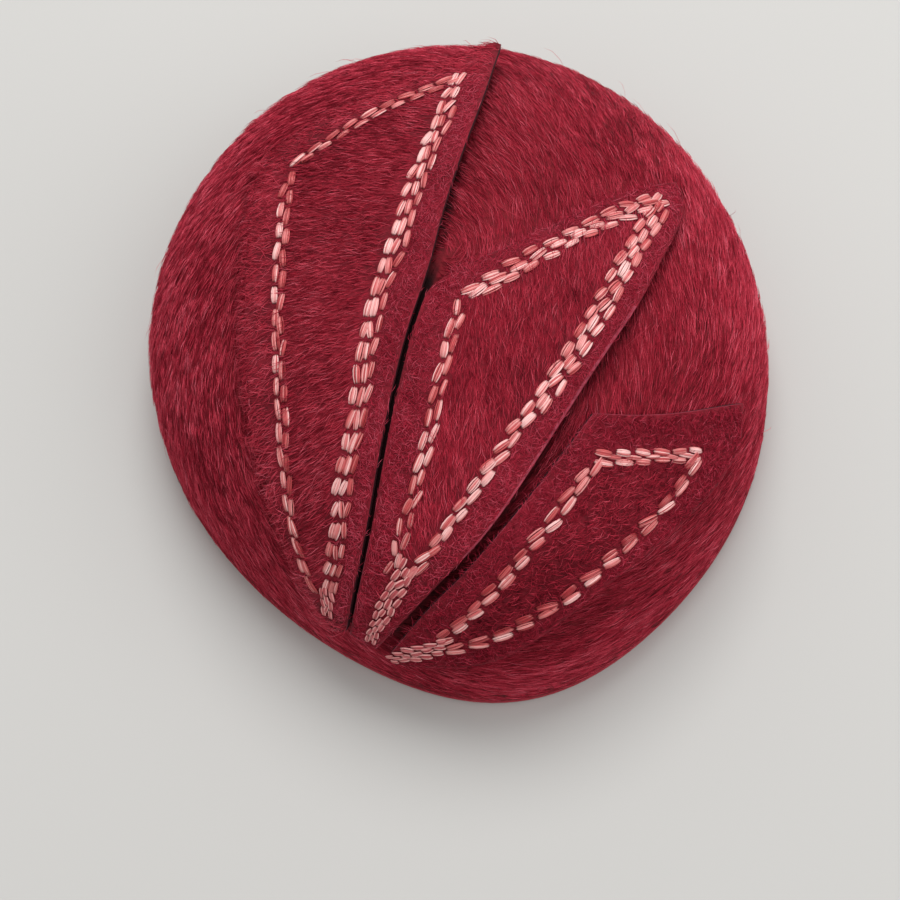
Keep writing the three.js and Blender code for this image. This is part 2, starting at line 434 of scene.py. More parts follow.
@dataclass(frozen=True)
class Dome:
    """The crown's outer form. A place on it is two shares of the way from its top to its rim."""

    half_width: float = 75.0 * MM
    half_length: float = 81.4 * MM
    height: float = 62.0 * MM
    fullness: float = 2.3
    centre: tuple[float, float] = (-0.578 * MM, 1.519 * MM)
    bulges: tuple[Bulge, ...] = (Bulge(facing=-87.0, spread=21.0, share=0.052),
                                 Bulge(facing=-136.0, spread=39.0, share=-0.061))

    def point(self, side: float, back: float) -> np.ndarray:
        """Finds a place on the dome.

        Args:
            side: the share towards +X.
            back: the share towards +Y.

        Returns:
            The point in metres.
        """
        around = math.atan2(back, side)
        out = math.sin(min(math.hypot(side, back), 1) * math.pi / 2)
        oval = 1 / math.hypot(math.cos(around) / self.half_width, math.sin(around) / self.half_length)
        reach = 1.0
        for bulge in self.bulges:
            turn = (around - math.radians(bulge.facing) + math.pi) % (2 * math.pi) - math.pi
            reach += bulge.share * out ** 3 * math.exp(-(turn / math.radians(bulge.spread)) ** 2)
        rise = max(1 - out ** self.fullness, 0) ** (1 / self.fullness)
        return np.array([self.centre[0] + oval * reach * out * math.cos(around),
                         self.centre[1] + oval * reach * out * math.sin(around), self.height * rise])

    def outward(self, side: float, back: float) -> np.ndarray:
        """Finds which way the dome faces.

        Args:
            side: the share towards +X.
            back: the share towards +Y.

        Returns:
            The unit normal there.
        """
        step = 1e-3
        across = self.point(side + step, back) - self.point(side - step, back)
        along = self.point(side, back + step) - self.point(side, back - step)
        return unit(np.cross(across, along))


DOME = Dome()
HEART = (*DOME.centre, -10 * MM)
OUTER_LEAN = 0.35


def leaning(spots: np.ndarray, facing: np.ndarray, heart: Place) -> np.ndarray:
    """Measures how squarely places face away from a point inside the dome.

    Args:
        spots: the places.
        facing: the unit normals there.
        heart: the point.

    Returns:
        1 where a place faces straight away from the point, and -1 where it faces it.
    """
    return (facing * unit(spots - np.array(heart))).sum(axis=1)


# Meshes made of many strands

@dataclass
class Strand:
    """One strand, modelled once: a unit long along its own Z and a unit wide."""

    points: np.ndarray
    faces: np.ndarray

    @classmethod
    def taken_from(cls, thing: bpy.types.Object) -> "Strand":
        """Reads a modelled object's mesh as triangles and removes the object.

        Args:
            thing: the object that was modelled.

        Returns:
            The strand.
        """
        select_only(thing)
        bpy.ops.object.mode_set(mode="EDIT")
        bpy.ops.mesh.select_all(action="SELECT")
        bpy.ops.mesh.quads_convert_to_tris()
        bpy.ops.mesh.normals_make_consistent(inside=False)
        bpy.ops.object.mode_set(mode="OBJECT")
        bpy.ops.object.transform_apply(location=True, rotation=True, scale=True)
        points = np.array([vertex.co for vertex in thing.data.vertices])
        faces = np.array([face.vertices[:] for face in thing.data.polygons])
        bpy.data.objects.remove(thing)
        return cls(points, faces)

    @classmethod
    def hair(cls, rings: tuple[float, ...] = ()) -> "Strand":
        """Models a pointed hair with three sides.

        Args:
            rings: how far up it gets a ring to bend at.

        Returns:
            The hair.
        """
        deselect()
        bpy.ops.mesh.primitive_cone_add(vertices=3, radius1=0.5, radius2=0, depth=1, location=(0, 0, 0.5))
        thing = bpy.context.active_object
        bpy.ops.object.transform_apply(location=True)
        for height in rings:
            bpy.ops.object.mode_set(mode="EDIT")
            bpy.ops.mesh.select_all(action="SELECT")
            bpy.ops.mesh.bisect(plane_co=(0, 0, height), plane_no=(0, 0, 1))
            fuller = 1 + height
            bpy.ops.transform.resize(value=(fuller, fuller, 1), center_override=(0, 0, height))
            bpy.ops.object.mode_set(mode="OBJECT")
        return cls.taken_from(thing)

    @classmethod
    def floss(cls) -> "Strand":
        """Models a strand of a satin stitch: round, and full nearly to its ends.

        Returns:
            The strand.
        """
        deselect()
        bpy.ops.mesh.primitive_uv_sphere_add(segments=5, ring_count=5, radius=0.5, location=(0, 0, 0.5))
        thing = bpy.context.active_object
        bpy.ops.object.transform_apply(location=True)
        bpy.ops.object.mode_set(mode="EDIT")
        bpy.ops.mesh.select_all(action="DESELECT")
        ends = bmesh.from_edit_mesh(thing.data)
        for vertex in ends.verts:
            vertex.select = abs(vertex.co.z - 0.5) > 0.3
        ends.select_flush(True)
        bpy.ops.transform.resize(value=(1.35, 1.35, 1), center_override=(0, 0, 0.5))
        bpy.ops.object.mode_set(mode="OBJECT")
        return cls.taken_from(thing)


@dataclass
class Bundle:
    """Many copies of one strand, each on its own curve, as arrays of one row a strand."""

    root: np.ndarray
    bend: np.ndarray
    tip: np.ndarray
    side: np.ndarray
    up: np.ndarray
    width: np.ndarray
    shade: np.ndarray
    wave: np.ndarray
    phase: np.ndarray

    def chosen(self, rows: np.ndarray) -> "Bundle":
        """Picks some of the strands.

        Args:
            rows: a mask or an array of row numbers.

        Returns:
            A smaller bundle.
        """
        return Bundle(*(values[rows] for values in vars(self).values()))

    def arrays(self, strand: Strand) -> tuple[np.ndarray, np.ndarray, np.ndarray]:
        """Lays a copy of the strand along each curve.

        Args:
            strand: the strand to copy.

        Returns:
            The points, the triangles, and a palette place for each corner.
        """
        count = len(self.root)
        t = strand.points[:, 2][None, :, None]
        x = strand.points[:, 0][None, :, None]
        y = strand.points[:, 1][None, :, None]
        spine = (self.root[:, None] * (1 - t) ** 2 + 2 * self.bend[:, None] * t * (1 - t)
                 + self.tip[:, None] * t ** 2)
        phase = self.phase[:, None, None]
        sway = self.wave[:, None, None] * (np.sin(2 * np.pi * t + phase) - np.sin(phase))
        spine = spine + self.side[:, None] * sway
        wide = self.width[:, None, None]
        points = spine + self.side[:, None] * x * wide + self.up[:, None] * y * wide
        start = np.arange(count)[:, None, None] * len(strand.points)
        faces = strand.faces[None] + start
        u = np.clip(self.shade, 0.01, 0.99)[:, None] + 0.006 * strand.points[:, 0][None]
        v = 0.02 + 0.95 * strand.points[:, 2] + 0.01 * strand.points[:, 1]
        spots = np.stack([u, np.broadcast_to(v, u.shape)], axis=-1)
        return points.reshape(-1, 3), faces.reshape(-1, 3), spots[:, strand.faces].reshape(-1, 2)


def joined(name: str, bundle: Bundle, strand: Strand, finish: StrandFinish) -> bpy.types.Object:
    """Joins all the strands of a bundle into one mesh object.

    Args:
        name: the piece's name.
        bundle: the strands' curves.
        strand: the strand to copy along them.
        finish: what the strands look like.

    Returns:
        The new object.
    """
    points, faces, spots = bundle.arrays(strand)
    mesh = bpy.data.meshes.new(name)
    mesh.vertices.add(len(points))
    mesh.vertices.foreach_set("co", points.astype(np.float32).ravel())
    mesh.loops.add(faces.size)
    mesh.loops.foreach_set("vertex_index", faces.astype(np.int32).ravel())
    mesh.polygons.add(len(faces))
    mesh.polygons.foreach_set("loop_start", np.arange(0, faces.size, 3, dtype=np.int32))
    mesh.polygons.foreach_set("use_smooth", np.ones(len(faces), dtype=bool))
    layer = mesh.uv_layers.new(name=PALETTE_MAP)
    layer.data.foreach_set("uv", spots.astype(np.float32).ravel())
    mesh.update(calc_edges=True)
    mesh.validate()
    mesh.materials.append(finish.material())
    thing = bpy.data.objects.new(name, mesh)
    bpy.context.scene.collection.objects.link(thing)
    return thing


# Felt bodies

@dataclass
class FeltBody:
    """A felt piece: the frame's own node, merged, rounded and smoothed."""

    node: str
    finish: FeltFinish
    slot: Slot
    lines: tuple["StitchLine", ...] = ()
    crisp: tuple[int, ...] = ()
    cut_edge: float = 0.13 * MM
    edge_lean: Share = (0.3, 0.95)
    side_lean: Share = (0.3, 0.7)
    nap_room: float = 0.0
    rim_kept: Share = (2 * MM, 6 * MM)
    smoothing: int = 1

    def build(self) -> bpy.types.Object:
        """Copies the node and gives the copy its fine surface.

        Returns:
            The finished piece.
        """
        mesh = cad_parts[self.node].data.copy()
        piece = bpy.data.objects.new("felt_" + self.node, mesh)
        bpy.context.scene.collection.objects.link(piece)
        select_only(piece)
        bpy.ops.object.mode_set(mode="EDIT")
        bpy.ops.mesh.select_all(action="SELECT")
        bpy.ops.mesh.remove_doubles(threshold=0.02 * MM)
        bpy.ops.mesh.tris_convert_to_quads()
        bpy.ops.mesh.normals_make_consistent(inside=False)
        bpy.ops.object.mode_set(mode="OBJECT")
        mesh.materials.clear()
        mesh.materials.append(self.finish.material())
        if self.cut_edge:
            mesh.materials.append(CUT_FELT.material())
            apply_modifier(piece, "BEVEL", width=self.cut_edge, segments=2, limit_method="ANGLE",
                           angle_limit=math.radians(50), material=1)
        apply_modifier(piece, "SUBSURF", levels=self.smoothing, render_levels=self.smoothing)
        if self.nap_room:
            self.make_room(piece)
        mesh.polygons.foreach_set("use_smooth", np.ones(len(mesh.polygons), dtype=bool))
        if self.cut_edge:
            self.narrow_cut_edge(mesh)
            self.paint_side_shade(piece)
        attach(piece, BODY)
        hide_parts(self.node)
        log.info("%s: %d faces", piece.name, len(mesh.polygons))
        return piece

    def narrow_cut_edge(self, mesh: bpy.types.Mesh) -> None:
        """Keeps the cut edge's look only where the edge turns over, and where no nap hides it.

        Args:
            mesh: the leaf's bevelled and smoothed mesh.
        """
        tree, numbers = tree_of_lines([line.curve()[0] for line in self.lines[:3]])
        heart = Vector(HEART)
        low, high = self.edge_lean
        for face in mesh.polygons:
            if face.material_index:
                lean = face.normal.dot((face.center - heart).normalized())
                shown = low < lean < high and numbers[tree.find(face.center)[1]] in self.crisp
                face.material_index = int(shown)

    def paint_side_shade(self, piece: bpy.types.Object) -> None:
        """Paints shade on a leaf's edge below its rounded top, where no light gets.

        Args:
            piece: the leaf's felt.
        """
        spots, facing = vertices_of(piece)
        paint_shade(piece, 1 - smooth_step(*self.side_lean, leaning(spots, facing, HEART)))

    def make_room(self, piece: bpy.types.Object) -> None:
        """Sinks the outer skin a little, so that the nap fills it out to its size again.

        Args:
            piece: the crown's felt.
        """
        mesh = piece.data
        spots, facing = vertices_of(piece)
        outer = smooth_step(0.0, 0.3, leaning(spots, facing, (*DOME.centre, 0)))
        above = smooth_step(*self.rim_kept, spots[:, 2])
        spots -= facing * (outer * above * self.nap_room)[:, None]
        mesh.vertices.foreach_set("co", spots.astype(np.float32).ravel())
        mesh.update()


def vertices_of(piece: bpy.types.Object) -> tuple[np.ndarray, np.ndarray]:
    """Lists a piece's vertices and their normals."""
    mesh = piece.data
    spots = np.array([vertex.co for vertex in mesh.vertices])
    return spots, np.array([vertex.normal for vertex in mesh.vertices])


def paint_crown_shade(piece: bpy.types.Object, around: "Surroundings") -> None:
    """Paints shade on the crown's felt under the leaves, in the slits and beside the edges that stand off
    it.

    Args:
        piece: the crown's felt.
        around: the leaves over it.
    """
    spots, facing = vertices_of(piece)
    paint_shade(piece, around.gloom(spots, facing)[0])


def skin_of(piece: bpy.types.Object) -> tuple[np.ndarray, np.ndarray, np.ndarray]:
    """Lists the triangles of a felt piece's outer skin.

    Args:
        piece: a felt piece.

    Returns:
        Their corners, their unit normals and their areas.
    """
    mesh = piece.data
    mesh.calc_loop_triangles()
    spots = np.array([vertex.co for vertex in mesh.vertices])
    corners = spots[np.array([triangle.vertices[:] for triangle in mesh.loop_triangles])]
    cross = np.cross(corners[:, 1] - corners[:, 0], corners[:, 2] - corners[:, 0])
    area = np.linalg.norm(cross, axis=1) / 2
    facing = unit(cross)
    outer = leaning(corners.mean(axis=1), facing, HEART) > OUTER_LEAN
    return corners[outer], facing[outer], area[outer]


def scattered(piece: bpy.types.Object, density: float,
              dice: np.random.Generator) -> tuple[np.ndarray, np.ndarray]:
    """Scatters points evenly over a felt piece's outer skin.

    Args:
        piece: a felt piece.
        density: points to the square millimetre.
        dice: the seeded source of the draws.

    Returns:
        The points and the skin's normals there.
    """
    corners, facing, area = skin_of(piece)
    count = int(area.sum() / MM ** 2 * density)
    picked = dice.choice(len(area), size=count, p=area / area.sum())
    a, b = dice.random((2, count))
    over = a + b > 1
    a[over], b[over] = 1 - a[over], 1 - b[over]
    first, second, third = corners[picked, 0], corners[picked, 1], corners[picked, 2]
    return first + (second - first) * a[:, None] + (third - first) * b[:, None], facing[picked]


# The embroidery

@dataclass(frozen=True)
class Column:
    """One column of grains beside a line of stitches. Its side is to the right of the way the line runs."""

    side: float
    width: float
    pink: float
    lead: float = 0.0
    last_lead: float | None = None
    reach: Share = (0.0, 1.0)

    def lead_at(self, share: float) -> float:
        """Reads how far the grains lead, as a share of the pitch, at a share of the line."""
        last = self.lead if self.last_lead is None else self.last_lead
        return self.lead + (last - self.lead) * share


@dataclass(frozen=True)
class StitchLine:
    """One line of the embroidery on a leaf: a few places on the dome, and its columns of grains.

    The length of a grain is given as a share of the pitch.
    """

    route: tuple[Share, ...]
    columns: tuple[Column, ...]
    pitch: float = 4.9 * MM
    grain: float = 0.94
    start_size: float = 1.0
    full_from: float = 0.5
    strands: int = 5
    mauve: bool = False

    def curve(self, steps: int = 12) -> tuple[np.ndarray, np.ndarray]:
        """Draws a smooth curve through the line's places.

        Args:
            steps: how many short steps each stretch takes.

        Returns:
            Points on the dome, and the dome's normals there.
        """
        places = np.array(self.route)
        held = np.vstack([2 * places[0] - places[1], places, 2 * places[-1] - places[-2]])
        shares = []
        for index in range(len(places) - 1):
            p0, p1, p2, p3 = held[index:index + 4]
            for step in range(steps):
                t = step / steps
                shares.append(0.5 * (2 * p1 + (p2 - p0) * t + (2 * p0 - 5 * p1 + 4 * p2 - p3) * t ** 2
                                     + (3 * p1 - p0 - 3 * p2 + p3) * t ** 3))
        shares.append(places[-1])
        return (np.array([DOME.point(*share) for share in shares]),
                np.array([DOME.outward(*share) for share in shares]))


@dataclass
class Thread:
    """A line's curve as it lies on the felt."""

    points: np.ndarray
    facing: np.ndarray

    def __post_init__(self) -> None:
        """Measures how far along the curve each point is."""
        steps = np.linalg.norm(np.diff(self.points, axis=0), axis=1)
        self.run = np.concatenate([[0], np.cumsum(steps)])

    def at(self, values: np.ndarray, place: float) -> np.ndarray:
        """Reads one row of values at a place along the curve."""
        return np.array([np.interp(place, self.run, values[:, axis]) for axis in range(3)])

    def stand(self, place: float) -> tuple[np.ndarray, np.ndarray, np.ndarray, np.ndarray]:
        """Finds where a grain sits and how it is turned.

        Args:
            place: how far along the curve its middle is.

        Returns:
            The point, and the unit ways forward, to the right and up.
        """
        ahead = self.at(self.points, place + 0.5 * MM)
        behind = self.at(self.points, place - 0.5 * MM)
        up = unit(self.at(self.facing, place))
        forward = unit(ahead - behind)
        return self.at(self.points, place), forward, np.cross(forward, up), up


@dataclass
class Embroidery:
    """The chain stitch on one leaf: grains of satin strands in columns, and a plait at the gather."""

    leaf: str
    lines: tuple[StitchLine, ...]
    grain_height: float = 0.45 * MM
    lean: float = 5.0
    lean_spread: float = 7.0
    lengths: Share = (0.84, 1.1)
    seed: int = 5
    curves: list[np.ndarray] = field(default_factory=list)
    marks: list[np.ndarray] = field(default_factory=list)

    def laid(self, line: StitchLine, felt: BVHTree) -> Thread:
        """Lays a line's curve on the leaf.

        Args:
            line: the line.
            felt: the leaf's surface.

        Returns:
            The curve on the leaf.
        """
        points, facing = line.curve()
        reach = 15 * MM
        laid_points, laid_facing = [], []
        for spot, normal in zip(points, facing):
            hit, away, _, _ = felt.ray_cast(Vector(spot + normal * reach), Vector(-normal), 2 * reach)
            laid_points.append(np.array(hit) if hit is not None else spot + normal * 2 * MM)
            laid_facing.append(np.array(away) if hit is not None else normal)
        return Thread(np.array(laid_points), unit(np.array(laid_facing)))

    def build(self, felt: BVHTree) -> None:
        """Makes the leaf's embroidery.

        Args:
            felt: the leaf's surface.
        """
        dice = np.random.default_rng(self.seed)
        rows = []
        for line in self.lines:
            thread = self.laid(line, felt)
            self.curves.append(thread.points)
            for column in line.columns:
                rows += self.column(line, thread, column, dice)
        bundle = Bundle(*(np.array(values) for values in zip(*rows)))
        piece = joined("stitches_" + self.leaf, bundle, Strand.floss(), FLOSS)
        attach(piece, BODY)
        log.info("%s: %d strands", piece.name, len(bundle.root))

    def column(self, line: StitchLine, thread: Thread, column: Column,
               dice: np.random.Generator) -> list[tuple]:
        """Makes one column of grains along a line.

        Args:
            line: the line it belongs to.
            thread: the line's curve on the leaf.
            column: the column.
            dice: the seeded source of the draws.

        Returns:
            A row for each strand, in a bundle's order.
        """
        total = thread.run[-1]
        rows = []
        place = column.reach[0] * total
        while place < column.reach[1] * total:
            share = place / total
            size = line.start_size + (1 - line.start_size) * min(share / line.full_from, 1)
            pitch = line.pitch * (0.8 + 0.2 * size)
            length = pitch * line.grain * dice.uniform(*self.lengths)
            middle = place + (0.5 + column.lead_at(share)) * pitch
            place += pitch * dice.uniform(0.96, 1.04)
            if middle + 0.2 * length > total:
                break
            here, forward, side, up = thread.stand(middle)
            turn = math.radians(self.lean + dice.normal(0, self.lean_spread))
            along = forward * math.cos(turn) + side * math.sin(turn)
            across = side * math.cos(turn) - forward * math.sin(turn)
            centre = here + side * (column.side * size + dice.normal(0, 0.15) * MM)
            half = along * length / 2
            tone = column.pink + 0.16 * noise.noise(Vector(here * 130)) + dice.normal(0, 0.10)
            broad = column.width * (0.25 + 0.75 * size) * dice.uniform(0.88, 1.08)
            rows += self.grain(line, centre, half, across * broad, up, tone, dice)
            self.marks += [centre - 0.7 * half, centre, centre + 0.7 * half]
        return rows

    def grain(self, line: StitchLine, centre: np.ndarray, half: np.ndarray, broad: np.ndarray,
              up: np.ndarray, tone: float, dice: np.random.Generator) -> list[tuple]:
        """Makes the strands of one grain, spread at its middle and gathered at its ends.

        Args:
            line: the line it belongs to.
            centre: its middle, on the felt.
            half: from its middle to its far end.
            broad: from its left side to its right one.
            up: the unit way off the felt.
            tone: how pale its thread is.
            dice: the seeded source of the draws.

        Returns:
            A row for each strand, in a bundle's order.
        """
        rows = []
        width = np.linalg.norm(broad)
        thick = 1.22 * width / line.strands
        spread = broad / width * (width - thick) / 2
        for number in range(line.strands):
            place = 2 * number / (line.strands - 1) - 1 + dice.normal(0, 0.08)
            bow = math.sqrt(max(1 - 0.75 * place * place, 0.1)) + dice.normal(0, 0.08)
            arch = up * self.grain_height * bow
            root = centre - half * dice.uniform(0.9, 1.02) + 0.6 * place * spread + up * 0.05 * MM
            tip = centre + half * dice.uniform(0.9, 1.02) + 0.6 * place * spread + up * 0.35 * MM
            bend = centre + 1.4 * place * spread + 1.9 * arch + half * dice.normal(0, 0.10)
            if line.mauve:
                shade = 0.85 + 0.13 * min(max(place * place * (0.5 + tone) + dice.normal(0, 0.1), 0), 1)
            else:
                shade = 0.8 * min(max(tone - 0.06 + dice.normal(0, 0.27), 0), 1)
            wide = thick * dice.uniform(0.85, 1.1)
            rows.append((root, bend, tip, unit(broad), up, wide, shade, 0.0, 0.0))
        return rows


# The nap

class Stitching:
    """Where one leaf's stitches lie, for the hair to keep clear of."""

    def __init__(self, embroidery: Embroidery, soft: tuple[int, ...], fringed: tuple[int, ...]) -> None:
        """Gathers the stitches' places.

        Args:
            embroidery: the leaf's embroidery, once it is built.
            soft: the lines whose own cut edge the nap hides.
            fringed: the lines by which the fuzz may hang over the cut edge.
        """
        side, top, long = embroidery.curves[:3]
        self.kite = np.concatenate([side, top, long[::-1]])[:, :2]
        self.soft = soft
        self.fringed = fringed
        self.grains = tree_of(embroidery.marks)
        self.lines, self.numbers = tree_of_lines([side, top, long])
        self.deep = np.zeros(len(self.numbers), dtype=bool)
        self.deep[len(side) + len(top):len(self.numbers) - len(long) // 7] = True

    def inside(self, points: np.ndarray) -> np.ndarray:
        """Tells which places lie inside the lines of stitches, seen from above.

        Args:
            points: places in metres.

        Returns:
            A mask.
        """
        crossings = np.zeros(len(points), dtype=int)
        for (ax, ay), (bx, by) in zip(self.kite, np.roll(self.kite, -1, axis=0)):
            spans = (ay > points[:, 1]) != (by > points[:, 1])
            rise = by - ay if by != ay else 1e-9
            crossings += spans & (points[:, 0] < ax + (points[:, 1] - ay) / rise * (bx - ax))
        return crossings % 2 == 1

    def by_lines(self, points: np.ndarray, chosen: tuple[int, ...]) -> np.ndarray:
        """Tells which places are nearest to one of some lines.

        Args:
            points: places in metres.
            chosen: the lines' numbers.

        Returns:
            A mask.
        """
        nearest = [self.numbers[self.lines.find(Vector(point))[1]] for point in points]
        return np.isin(nearest, chosen)

    def by_deep_edge(self, point: np.ndarray) -> bool:
        """Tells whether a place is nearest to the line whose edge stands off the crown."""
        return bool(self.deep[self.lines.find(Vector(point))[1]])

    def distance(self, points: np.ndarray) -> np.ndarray:
        """Measures how far each point is from the nearest grain.

        Args:
            points: places in metres.

        Returns:
            The distances in metres.
        """
        return np.array([self.grains.find(Vector(point))[2] for point in points])


@dataclass
class Surroundings:
    """What the hair has to mind: the leaves over the crown, and the stitches on each."""

    leaves: dict[str, BVHTree]
    stitching: dict[str, Stitching]
    reach: float = 4.5 * MM
    slit_reach: float = 1.1 * MM
    cover_height: float = 10 * MM
    shadow_height: Share = (0.3 * MM, 1.1 * MM)
    shadow_width: Share = (0.7 * MM, 2.2 * MM)
    tight_beside: float = 0.8 * MM
    tight_height: float = 0.55 * MM

    def covered(self, points: np.ndarray, facing: np.ndarray) -> np.ndarray:
        """Tells which places lie under a leaf.

        Args:
            points: places on the crown.
            facing: the skin's normals there.

        Returns:
            A mask.
        """
        under = np.zeros(len(points), dtype=bool)
        for index, (point, normal) in enumerate(zip(points, facing)):
            start, way = Vector(point - normal * MM), Vector(normal)
            hits = (leaf.ray_cast(start, way, self.cover_height)[0] for leaf in self.leaves.values())
            under[index] = any(hit is not None for hit in hits)
        return under

    def gloom(self, points: np.ndarray, facing: np.ndarray) -> tuple[np.ndarray, np.ndarray]:
        """Finds how much painted shade the crown gets beside an edge that stands off it, and in the slits.

        Args:
            points: places on the crown.
            facing: the skin's normals there.

        Returns:
            The painted shade from 0 to 1, and a mask of the places too tight for hair.
        """
        dark = np.zeros(len(points))
        tight = np.zeros(len(points), dtype=bool)
        for index, (point, normal) in enumerate(zip(points, facing)):
            close = 0
            for node, leaf in self.leaves.items():
                spot = leaf.find_nearest(Vector(point), self.reach)[0]
                if spot is None:
                    continue
                gap = np.array(spot) - point
                height = gap @ normal
                beside = math.sqrt(max(gap @ gap - height * height, 0))
                close += beside < self.slit_reach and height > -0.5 * MM
                if not self.stitching[node].by_deep_edge(point):
                    continue
                # Painted shadow beside an edge that stands off the crown
                shadow = smooth_step(*self.shadow_height, height)
                shadow *= 1 - smooth_step(*self.shadow_width, beside)
                dark[index] = max(dark[index], shadow)
                tight[index] |= beside < self.tight_beside and height > self.tight_height
            # Painted shade: a slit between two leaves is painted black, and no hair grows there
            if close > 1:
                dark[index] = 1
                tight[index] = True
        return dark, tight

    def off_leaf(self, leaf: str, points: np.ndarray, facing: np.ndarray) -> np.ndarray:
        """Tells which places are past the edge of their own leaf.

        Args:
            leaf: the leaf's node.
            points: places over the leaf or beside it.
            facing: the unit ways off it.

        Returns:
            A mask.
        """
        tree = self.leaves[leaf]
        return np.array([tree.ray_cast(Vector(start), Vector(-normal), 4 * MM)[0] is None
                         for start, normal in zip(points + facing * MM, facing)])


@dataclass(frozen=True)
class FlowMark:
    """How far the crown's hair swings outwards from the way round, at one place on the dome."""

    side: float
    back: float
    swing: float


CROWN_FLOW = (
    FlowMark(side=0.15, back=0.34, swing=39), FlowMark(side=0.30, back=0.45, swing=33),
    FlowMark(side=0.21, back=0.21, swing=25), FlowMark(side=0.32, back=0.14, swing=9),
    FlowMark(side=0.48, back=0.38, swing=30), FlowMark(side=0.64, back=0.09, swing=9),
    FlowMark(side=0.40, back=-0.20, swing=-27), FlowMark(side=0.29, back=-0.29, swing=-42),
    FlowMark(side=0.67, back=-0.08, swing=-6), FlowMark(side=0.49, back=-0.31, swing=-3),
    FlowMark(side=0.68, back=-0.41, swing=8), FlowMark(side=0.54, back=-0.69, swing=3),
    FlowMark(side=0.13, back=-0.85, swing=3), FlowMark(side=-0.30, back=-0.84, swing=4),
    FlowMark(side=-0.61, back=-0.45, swing=20), FlowMark(side=-0.59, back=-0.21, swing=24),
    FlowMark(side=-0.68, back=0.0, swing=24), FlowMark(side=-0.64, back=0.24, swing=20),
    FlowMark(side=-0.50, back=0.47, swing=0), FlowMark(side=-0.20, back=0.50, swing=4),
    FlowMark(side=0.0, back=0.52, swing=-2), FlowMark(side=0.30, back=0.85, swing=10),
    FlowMark(side=-0.50, back=0.80, swing=5), FlowMark(side=0.80, back=0.40, swing=12),
    FlowMark(side=0.02, back=0.03, swing=0), FlowMark(side=0.08, back=0.10, swing=22),
)


LEAF_WAYS = {Lie.ALONG: (0.12, 0.99, 0.0), Lie.SLANTED: (0.93, 0.36, 0.0)}


